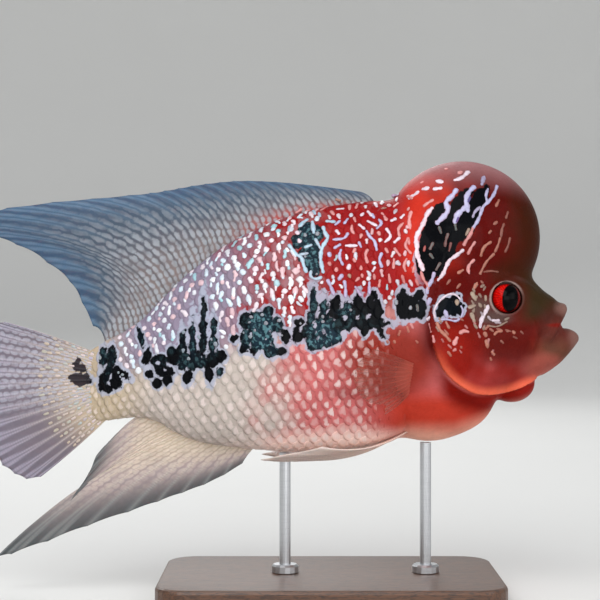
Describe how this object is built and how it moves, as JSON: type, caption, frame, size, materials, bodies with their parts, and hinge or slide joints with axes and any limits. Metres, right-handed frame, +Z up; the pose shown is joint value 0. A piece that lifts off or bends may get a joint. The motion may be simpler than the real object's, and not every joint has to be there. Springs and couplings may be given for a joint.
{
  "type": "flowerhorn cichlid",
  "caption": "Life-size flowerhorn cichlid with a domed forehead and trailing fins, held over a flat base by two short rods.",
  "frame": {"origin": "centre of the underside of the stand's base", "axes": "+X towards the fish's head, +Z up, the fish's left side at +Y"},
  "size_m": [0.285, 0.117, 0.1935],
  "materials": {
    "skin": "satin wet skin with scales",
    "lips": "satin wet skin",
    "eyes": "clear gloss",
    "fins": "thin translucent web with rays",
    "stand_wood": "dark satin",
    "stand_steel": "satin"
  },
  "bodies": {
    "root": {"head": "skin", "nuchal_hump": "skin", "trunk": "skin", "tail_stalk": "skin", "gill_cover_left": "skin", "gill_cover_right": "skin", "gill_membrane": "skin", "upper_lip": "lips", "lower_jaw": "lips", "eye_left": "eyes", "eye_right": "eyes", "dorsal_fin": "fins", "tail_fin": "fins", "anal_fin": "fins", "pectoral_fin_left": "fins", "pectoral_fin_right": "fins", "pelvic_fin_left": "fins", "pelvic_fin_right": "fins", "stand_base": "stand_wood", "stand_rod_front": "stand_steel", "stand_rod_rear": "stand_steel"}
  },
  "joints": []
}
